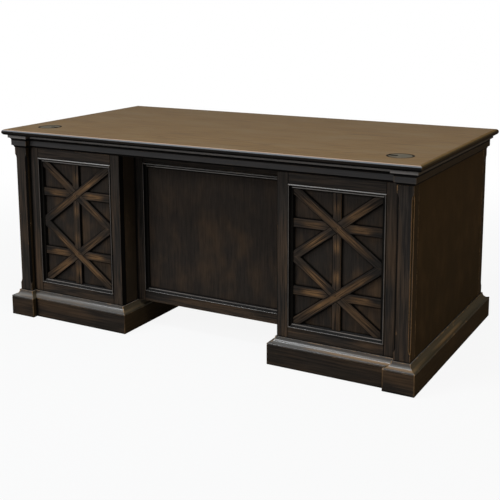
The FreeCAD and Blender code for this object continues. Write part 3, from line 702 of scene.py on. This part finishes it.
# %% [markdown]
# ## Plinth caps
# The cap of a plinth is a cove over a round lip. It is polished by dusters, a faint pale highlight is
# painted on its faces that look up, and shoes have rubbed a honey line where the cove meets the lip, most
# of all on the right. The lip below that line is painted darker. The height above the foot of the cap
# places that line, because an edge mask would draw it on every arris.

# %% Plinth caps
POLISHED = (0.85, 0.20)
BARE_START = (5.6 * MM, 7.2 * MM)
BARE_END = (12.0 * MM, 9.0 * MM)
LIP_HEIGHT = (6.8 * MM, 5.4 * MM)
LIP_DARKENING = 0.28
SHOD = (-0.5, 0.4)  # from the left of the desk, where feet pass less, to the right
BARE_LEAST = 0.10
BARE_MORE = 0.45
cap_low, cap_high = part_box("right_plinth_cap")


def cap_grain(finish):
    """The rule for the cap of a plinth, which is rubbed bare above its lip."""
    x, y, z = finish.split(finish.place)
    height = z - cap_low.z
    bare = BARE_LEAST + x.rise(*SHOD) * BARE_MORE
    finish.rubs = height.rise(*BARE_START) * height.rise(*BARE_END) * bare
    # the lip is painted darker than the cove above it
    finish.joints = height.rise(*LIP_HEIGHT) * LIP_DARKENING
    return run_grain(finish)


cap_coat = (ink(36, 34, 31), ink(60, 56, 51))
cap_black = black_finish("cap_black", cap_grain, rub=0.20, wear=0.8, polish=POLISHED, figure=0.6,
                         coat=cap_coat, quirk=FINE_QUIRK, ledge_highlight=0.16, end_shade_tone=ink(72, 64, 49))
dress(cap_black, *on_both("plinth_cap"))
print("a cap is", round((cap_high.z - cap_low.z) / MM, 1), "mm high")

# %% [markdown]
# ## Panel mouldings
# Small mitred mouldings hold the panels in their frames. Their ledges are so narrow that a lamp alone
# leaves them dark, yet on the real desk they are the palest lines of the front. So these mouldings have
# the polish of the caps, a pale coat and the strongest painted highlight on faces that look up, both
# painted light, and the painted shade in their hollows and on their upright legs sets the lines off.

# %% Panel mouldings
# painted light: a pale coat for the highlight on the narrow ledges
bead_coat_painted_sheen = (ink(72, 68, 64), ink(110, 103, 96))
panel_mouldings = (
    ("bead_black", "right_panel_moulding", on_both("panel_moulding")),
    ("modesty_bead_black", "modesty_moulding", ["modesty_moulding"]),
)
for name, measured, pieces in panel_mouldings:
    rule = moulding_grain(measured)
    bead_black = black_finish(name, rule, rub=0.10, wear=0.30, polish=POLISHED, coat=bead_coat_painted_sheen,
                              quirk=FINE_QUIRK, ledge_highlight=0.95)
    dress(bead_black, *pieces)

# %% [markdown]
# ## The lattice
# The strips are the showpiece of the front. Each is rubbed through along its middle and stays black at
# its edges, at its ends and where it meets the others. Separate materials for each strip would do, but
# the pattern mirrors about the upright and about the middle height, so one quarter of it is enough: its
# four strips all cross at one point. The strips are laid over one another in the order in which they are
# cut, and the last one that covers a point gives its grain.

# %% The lattice's measures
STRIP_HALF = 16 * MM
lattice_low, lattice_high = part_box("right_lattice")
lattice_x = (lattice_low.x + lattice_high.x) / 2
lattice_z = (lattice_low.z + lattice_high.z) / 2
half_across = (lattice_high.x - lattice_low.x) / 2
half_up = (lattice_high.z - lattice_low.z) / 2
slope = math.hypot(2 * half_across, half_up)
lean_across = 2 * half_across / slope
lean_up = half_up / slope
laid_over = [(0.0, 1.0), (lean_across, lean_up), (lean_across, -lean_up)]  # after the level strip
print("lattice in mm:", round(2 * half_across / MM, 1), "by", round(2 * half_up / MM, 1))

# %% [markdown]
# The rule of grain also makes the mask of the glow. It fades towards the crossing, except on the strip
# that runs through it, and towards the ends. Slow noise makes it patchy, since nobody rubs evenly. The
# walls of the strips are painted near black as painted shade, so the strips stand out.

# %% Strips that glow along their middles
WALL_TURN = 0.5  # a wall of a strip faces less than this towards the front
CROSS_FADE = (30 * MM, 80 * MM)
END_FADE = (18 * MM, 62 * MM)
THROUGH_SHARE = 0.75
PATCHES = 7.0  # per metre
PATCH_DETAIL = 2.0
PATCH_SPAN = (0.36, 0.60)
PATCH_LEAST = 0.40
PATCH_MORE = 0.60
QUARTER_EDGE = (0.0, 1 * MM)
GLOW_ACROSS = (0.05, 0.75)


def lattice_grain(finish):
    """Along and across whichever strip covers the point, measured from the crossing."""
    x, y, z = finish.split(finish.place)
    u = abs(x) - lattice_x
    w = abs(z - lattice_z) - half_up / 2
    along, across = u, w
    for step_u, step_w in laid_over:
        aside = u * step_w - w * step_u
        covers = abs(aside) < STRIP_HALF
        along = along.toward(u * step_u + w * step_w, covers)
        across = across.toward(aside, covers)
    through = covers * THROUGH_SHARE
    clear = ((u * u + w * w) ** 0.5).rise(*CROSS_FADE).most(through)
    from_end = (half_across - abs(u)).least(half_up / 2 - abs(w))
    patches = finish.noise(finish.join(x * PATCHES, y * PATCHES, z * PATCHES), PATCH_DETAIL)
    patchy = PATCH_LEAST + patches.rise(*PATCH_SPAN) * PATCH_MORE
    middle = 1 - abs(across) / STRIP_HALF
    finish.strip_glow = middle.rise(*GLOW_ACROSS) * (clear * from_end.rise(*END_FADE) * patchy)
    out_x, out_y, out_z = finish.split(finish.facing)
    # painted shade: the walls of the strips are painted near black
    finish.joints = abs(out_y) < WALL_TURN
    quarter = u.rise(*QUARTER_EDGE) + w.rise(*QUARTER_EDGE) * 2
    return along, across + quarter, y


def strip_glow(finish):
    return finish.strip_glow


lattice_rubbed = black_finish("lattice_rubbed", lattice_grain, rub=0.15, wear=0.10, polish=MATT,
                              extra_rub_and_light=strip_glow, quirk=FINE_QUIRK)
dress(lattice_rubbed, *on_both("lattice"))

# %% [markdown]
# ## The top
# The top is a plain-sawn veneer in leaves, weathered to a grey brown under a satin lacquer. Flat-cut
# figure is a set of growth rings cut at a slant. A Wave texture could draw it, but its bands are too
# even. Here the distance from the heart of each leaf, bent by slow noise and folded into bands, draws it,
# and it stays faint.

# %% The figure of the veneer
LEAF_WIDTH = 222 * MM
RING_PITCH = 16 * MM
RING_DRIFT = 220 * MM
DRIFT_ALONG = 1.1
DRIFT_ACROSS = 5.0
DRIFT_DETAIL = 2.0
LEAF_STEP = 7.3  # how far apart the leaves lie in the noise
EARLY_WOOD = (0.0, 0.55)
LATE_WOOD = (1.0, 0.8)


def leaf_figure(finish, along, across):
    """Growth rings, from 0 to 1 across each."""
    leaf = (across / LEAF_WIDTH).whole()
    from_heart = across - leaf * LEAF_WIDTH - LEAF_WIDTH / 2
    drift_at = finish.join(along * DRIFT_ALONG + leaf * LEAF_STEP, across * DRIFT_ACROSS, leaf)
    rings = (abs(from_heart) + finish.noise(drift_at, DRIFT_DETAIL) * RING_DRIFT) / RING_PITCH
    band = rings - rings.whole()
    return band.rise(*EARLY_WOOD) * band.rise(*LATE_WOOD)


print("the top takes about", round((cad_high.y - cad_low.y) / LEAF_WIDTH, 1), "leaves of veneer")

# %% [markdown]
# The colour is mixed from that figure and the noise fields of the other boards, then greyed in clouds, as
# old lacquer goes grey, and darkened in the pores. Its shine is low, since a bright top would hide the
# grain from this low camera. The mix is a function of its own, because the lipping needs it as well.

# %% Weathered veneer
TOP_DARK = ink(84, 64, 40)
TOP_PALE = ink(116, 91, 57)
TOP_GREY = ink(106, 89, 64)
VENEER_MIX = (0.45, 0.30, 0.12, 0.20)
VENEER_SPAN = (0.28, 0.76)
GREY_SPAN = (0.45, 0.75)
GREY_SHARE = 0.55
OPEN_PORES = (0.40, 0.28)
VENEER_PORES = 0.40
VENEER_ROUGH = 0.55
VENEER_DRIFT = 0.14
VENEER_SHINE = 0.04
VENEER_RELIEF = 0.25


def veneer_colour(finish, along, across):
    """The brown of the top, with its streaks and fibres."""
    clouds, streaks, fibres = wood_fields(finish, along, across, 0.0)
    figure = leaf_figure(finish, along, across)
    tone = blend(VENEER_MIX, streaks, fibres, figure, clouds).rise(*VENEER_SPAN)
    colour = finish.tint(tone, TOP_DARK, TOP_PALE)
    colour = finish.tint(clouds.rise(*GREY_SPAN) * GREY_SHARE, colour, TOP_GREY)
    return finish.tint(fibres.rise(*OPEN_PORES) * VENEER_PORES, colour, UMBER), streaks, fibres


top_veneer = Finish("top_veneer")
top_x, top_y, top_z = top_veneer.split(top_veneer.place)
top_colour, top_streaks, top_fibres = veneer_colour(top_veneer, top_x, top_y)
top_veneer.surface(Base_Color=top_colour, Roughness=VENEER_ROUGH + top_streaks * VENEER_DRIFT,
                   Specular_IOR_Level=VENEER_SHINE)
top_veneer.relief(top_fibres, GRAIN_DEPTH, VENEER_RELIEF)
dress(top_veneer, "top_panel")

# %% [markdown]
# The lipping is one piece round the veneer. It carries the same brown over its level strip, then a pale
# line where the nose is rubbed, with a painted highlight in it, a grey band that is a painted highlight,
# and black below, which is partly painted shade. Bands by height are enough for this, since the profile
# is the same all round, and no edge has to be marked by hand. At the ends the tones are warmer and
# darker, as painted shade.

# %% Lipping, brown above and black on the nose
NOSE = (0.10, 0.25)
BROWN_END = (1.2 * MM, 0.6 * MM)  # depths below the top's surface
LINE_START = (0.5 * MM, 1.0 * MM)
LINE_END = (3.2 * MM, 2.4 * MM)
SHEEN_BAND_END = (7.4 * MM, 5.8 * MM)
# the pale line is wear with a painted highlight, the grey band is a painted highlight, and the darker end
# tones are painted shade
WORN_AND_HIGHLIGHT_LINE_TONES = (ink(174, 148, 126), ink(104, 84, 52))  # on the front and at the ends
SHEEN_BAND_TONES = (ink(114, 116, 119), ink(64, 54, 37))
LINE_AND_SHEEN_SHARE = 0.85
# near black nose coat, darker than the other coats as partly painted shade
lip_coat_and_shade = (ink(9, 8, 7), ink(18, 15, 12))
lipping = black_finish("lipping", run_grain, rub=0.06, wear=0.12, polish=NOSE, coat=lip_coat_and_shade,
                       quirk=FINE_QUIRK)
lip_x, lip_y, lip_z = lipping.split(lipping.place)
below_top = cad_high.z - lip_z
lip_colour = lipping.colour
# painted highlight bands on the nose, by depth below the top
for band_end, tones in ((SHEEN_BAND_END, SHEEN_BAND_TONES), (LINE_END, WORN_AND_HIGHLIGHT_LINE_TONES)):
    band = below_top.rise(*LINE_START) * below_top.rise(*band_end)
    lip_colour = lipping.tint(band * LINE_AND_SHEEN_SHARE, lip_colour, lipping.tint(lipping.at_ends, *tones))
lip_brown = veneer_colour(lipping, lip_x, lip_y)[0]
lipping.surface(Base_Color=lipping.tint(below_top.rise(*BROWN_END), lip_colour, lip_brown))
dress(lipping, "top_lipping")

# %% [markdown]
# ## Plastics
# The grommets are moulded plastic, coloured to match the top and stippled to hide scratches. The stipple
# is too fine to model, so it is a bump. Their rims and walls are painted near black as painted shade,
# which draws the dark ring and slot that show from afar. The glides under the pedestals are the same
# plastic in black.

# %% Plastics
STIPPLE = 1400.0  # grains per metre
STAINS = 40.0
PLASTIC_DETAIL = 2.0
STAIN_SPAN = (0.35, 0.70)
RIM_REACH = 2.6 * MM
RIM_SPAN = (0.08, 0.30)
WALL_SHADE = 0.9
PLASTIC_ROUGH = 0.55
STAIN_ROUGH = 0.2
PLASTIC_SHINE = 0.005
STIPPLE_DEPTH = 0.1 * MM
STIPPLE_RELIEF = 0.3


def stippled_plastic(name, colour, worn_colour):
    """Moulded plastic with a fine spark-eroded grain, and painted shade on its rims and walls."""
    finish = Finish(name)
    stains = finish.speckle(STAINS, PLASTIC_DETAIL)
    out_x, out_y, out_z = finish.split(finish.facing)
    face = finish.tint(stains.rise(*STAIN_SPAN), colour, worn_colour)
    walls = abs(out_z) < WALL_TURN
    # painted shade: rims and walls near black
    painted_shade = finish.edge(RIM_REACH).rise(*RIM_SPAN).most(walls * WALL_SHADE)
    finish.surface(Base_Color=finish.tint(painted_shade, face, NEAR_BLACK),
                   Roughness=PLASTIC_ROUGH + stains * STAIN_ROUGH, Specular_IOR_Level=PLASTIC_SHINE)
    finish.relief(finish.speckle(STIPPLE, PLASTIC_DETAIL), STIPPLE_DEPTH, STIPPLE_RELIEF)
    return finish


dress(stippled_plastic("grommet_cap_brown", ink(88, 82, 70), ink(100, 93, 80)), *on_both("grommet_cap"))
dress(stippled_plastic("grommet_liner_brown", ink(38, 32, 25), ink(50, 43, 34)), "grommet_liners")
dress(stippled_plastic("glide_black", ink(30, 30, 30), ink(42, 42, 42)), "floor_glides")

# %% [markdown]
# ## Woods inside
# The drawer boxes are pale lacquered hardwood, and the framing inside is bare timber. They show only when
# a drawer is open, but a flat colour would look unfinished then. The noise fields of the painted boards
# serve them too, with two tones and open pores.

# %% Bare and lacquered woods
WOOD_MIX = (0.60, 0.25, 0.20)
WOOD_SPAN = (0.32, 0.75)
WOOD_PORES = 0.35
WOOD_DRIFT = 0.15
WOOD_SHINE = 0.35
WOOD_RELIEF = 0.2


def plain_wood(name, pale, dark, rough):
    """Unpainted wood with its own streaks and pores."""
    finish = Finish(name)
    along, across, depth = run_grain(finish)
    clouds, streaks, fibres = wood_fields(finish, along, across, depth)
    tone = blend(WOOD_MIX, streaks, fibres, clouds).rise(*WOOD_SPAN)
    colour = finish.tint(fibres.rise(*OPEN_PORES) * WOOD_PORES, finish.tint(tone, dark, pale), dark)
    finish.surface(Base_Color=colour, Roughness=rough + streaks * WOOD_DRIFT,
                   Specular_IOR_Level=WOOD_SHINE)
    finish.relief(fibres, GRAIN_DEPTH, WOOD_RELIEF)
    return finish


drawer_wood = plain_wood("drawer_wood", ink(205, 172, 128), ink(168, 130, 88), rough=0.38)
dress(drawer_wood, *on_both("utility_box", "file_box"), "centre_tray")
carcass_wood = plain_wood("carcass_wood", ink(158, 124, 88), ink(116, 86, 58), rough=0.60)
dress(carcass_wood, "top_frame", "pedestal_bottoms", "slide_cleats")

# %% [markdown]
# ## Metals
# Slides, hinges and brackets are zinc plated, which gives a cloudy bright grey. The pulls are dark
# bronze. Both are plated metal with faint drawing lines, so one function makes them. The lines are noise
# that is fine across and long along, which costs less than an anisotropic shader and is kept by the
# export.

# %% Metals
LINES_FINE = 900.0  # per metre across the drawing lines
LINES_LONG = 30.0
LINES_DETAIL = 2.0
PLATE_CLOUDS = 60.0
PLATE_MIX = (0.7, 0.4)
PLATE_SPAN = (0.35, 0.75)
PLATE_DRIFT = 0.15
LINE_DEPTH = 0.05 * MM
LINE_RELIEF = 0.2


def plated_metal(name, bright, dull, rough):
    """Metal with a cloudy plating and faint drawing lines."""
    finish = Finish(name)
    x, y, z = finish.split(finish.place)
    lines = finish.noise(finish.join(x * LINES_FINE, y * LINES_LONG, z * LINES_FINE), LINES_DETAIL)
    clouds = finish.noise(finish.join(x * PLATE_CLOUDS, y * PLATE_CLOUDS, z * PLATE_CLOUDS))
    colour = finish.tint(blend(PLATE_MIX, clouds, lines).rise(*PLATE_SPAN), dull, bright)
    finish.surface(Base_Color=colour, Roughness=rough + clouds * PLATE_DRIFT, Metallic=1.0)
    finish.relief(lines, LINE_DEPTH, LINE_RELIEF)
    return finish


zinc = plated_metal("zinc_plate", ink(205, 206, 208), ink(160, 163, 168), rough=0.28)
dress(zinc, *on_both("utility_runners", "file_runners", "file_rails"), "centre_runners", "slide_channels",
      "joining_hardware", "drop_front_tray_hinges", "drop_front_hinge_leaves")
bronze = plated_metal("dark_bronze", ink(92, 74, 56), ink(52, 44, 38), rough=0.32)
dress(bronze, *on_both("utility_pull", "file_pull"), "centre_pulls")

# %% [markdown]
# ## The floor
# The desk stands on a pale floor that runs out to white. A white floor in strong light would do that, but
# it would throw its light back on the desk. So the floor is grey to the lamps and takes the shadow, and
# most of what the camera sees is a white that lights nothing. Further out the white is whole.

# %% Floor
FLOOR_SIZE = 30.0
FLOOR_GREY = (0.6, 0.6, 0.6, 1.0)
WHITE = (1.0, 1.0, 1.0, 1.0)
WHITE_SHARE = 0.90
SHADOW_REACH = (1.4, 3.6)  # metres from the middle of the desk
half_floor = FLOOR_SIZE / 2
corners = [(x * half_floor, y * half_floor, 0) for x, y in ((-1, -1), (1, -1), (1, 1), (-1, 1))]
mesh = bpy.data.meshes.new("floor")
mesh.from_pydata(corners, [], [(0, 1, 2, 3)])
floor = bpy.data.objects.new("floor", mesh)
bpy.context.scene.collection.objects.link(floor)
floor_white = Finish("floor_white")
floor_white.surface(Base_Color=FLOOR_GREY, Roughness=0.9, Specular_IOR_Level=0.1)
lit = Wire(floor_white, floor_white.shader.outputs[0])
white = floor_white.add("ShaderNodeEmission", None, {"Color": WHITE, "Strength": 1.0})
length = {"operation": "LENGTH"}
away = floor_white.add("ShaderNodeVectorMath", length, (floor_white.place,), out="Value")
white_share = WHITE_SHARE + away.rise(*SHADOW_REACH) * (1 - WHITE_SHARE)
shown = floor_white.add("ShaderNodeMixShader", None, (floor_white.seen() * white_share, lit, white))
floor_white.show(shown, "Material Output")
mesh.materials.append(floor_white.material)
print("floor of", FLOOR_SIZE, "m, white from", SHADOW_REACH[1], "m out")

# %% [markdown]
# ## The world
# A studio has some light from all sides, here a dim cool one. Behind the desk the camera should see
# white. A white world would flood the desk with light, so the white is only shown to the rays that reach
# the camera, straight or by a polished surface, as on the floor.

# %% World
AMBIENT = (0.80, 0.90, 1.0, 1.0)
AMBIENT_STRENGTH = 0.22
world = bpy.data.worlds.new("studio")
bpy.context.scene.world = world
world.use_nodes = True
studio = Graph(world.node_tree)
studio.tree.nodes.remove(studio.tree.nodes["Background"])
dim = studio.add("ShaderNodeBackground", None, {"Color": AMBIENT, "Strength": AMBIENT_STRENGTH})
white = studio.add("ShaderNodeBackground", None, {"Color": WHITE, "Strength": 1.0})
studio.show(studio.add("ShaderNodeMixShader", None, (studio.seen(), dim, white)), "World Output")
print("light from all sides:", AMBIENT_STRENGTH)

# %% [markdown]
# ## The lamps
# The desk was photographed under a broad cool light in front and above, to the left, with a little warm
# light on its right. A low lamp behind does the same for the drawers. Area lamps are the choice for that:
# their size makes the shadows soft, and they show as long highlights in the polish. A sun or a point
# would be hard.

# %% Lamps
LAMPS = (  # name, place, width, height, power in watts, colour
    ("key", (-2.2, -3.6, 2.8), 2.2, 1.4, 92, (0.95, 0.97, 1.0)),
    ("overhead", (0.3, -1.4, 3.2), 3.8, 0.45, 66, (0.90, 0.95, 1.0)),
    ("warm_side", (4.6, -0.4, 2.2), 1.8, 1.8, 44, (1.0, 0.78, 0.42)),
    ("drawer_side", (-0.6, 4.2, 0.45), 3.0, 0.5, 70, (0.97, 0.98, 1.0)),
)
desk_middle = (cad_low + cad_high) / 2
for name, place, width, height, power, colour in LAMPS:
    light = bpy.data.lights.new(name, "AREA")
    light.shape = "RECTANGLE"
    light.size = width
    light.size_y = height
    light.energy = power
    light.color = colour
    lamp = bpy.data.objects.new(name, light)
    lamp.location = place
    to_desk = desk_middle - Vector(place)
    lamp.rotation_euler = to_desk.to_track_quat("-Z", "Y").to_euler()
    bpy.context.scene.collection.objects.link(lamp)
    print(name, "lamp", round(to_desk.length, 2), "m from the desk")

# %% [markdown]
# ## The camera
# The camera stands where the photograph was taken from, to the right of the desk's middle and above its
# top. Moving it by eye would take many tries, so it was fitted to the corners and edges of the desk in
# the picture. The lens is shifted a little, as on a view camera, which lets it look down less and keeps
# the uprights nearly parallel.

# %% Camera
PICTURE = 500  # pixels
SENSOR = 36.0
FOCAL_PIXELS = 936.3
CAMERA_PLACE = (1.7747, -3.1755, 1.2788)
YAW, PITCH, ROLL = (math.radians(angle) for angle in (29.12, 9.976, -0.225))
SHIFT_Y = -0.18
camera_data = bpy.data.cameras.new("camera")
camera_data.sensor_width = SENSOR
camera_data.lens = FOCAL_PIXELS / PICTURE * SENSOR
camera_data.shift_y = SHIFT_Y
camera = bpy.data.objects.new("camera", camera_data)
level = math.cos(PITCH)
forward = Vector((-math.sin(YAW) * level, math.cos(YAW) * level, -math.sin(PITCH)))
level_right = Vector((math.cos(YAW), math.sin(YAW), 0))
level_up = level_right.cross(forward)
right = level_right * math.cos(ROLL) + level_up * math.sin(ROLL)
up = level_up * math.cos(ROLL) - level_right * math.sin(ROLL)
turned = Matrix((right, up, -forward)).transposed()
camera.matrix_world = Matrix.Translation(CAMERA_PLACE) @ turned.to_4x4()
bpy.context.scene.collection.objects.link(camera)
bpy.context.scene.camera = camera
bpy.context.scene.view_settings.view_transform = "Standard"
distance = (desk_middle - Vector(CAMERA_PLACE)).length
print("lens of", round(camera_data.lens, 1), "mm,", round(distance, 2), "m from the desk")

# %% [markdown] ## The end
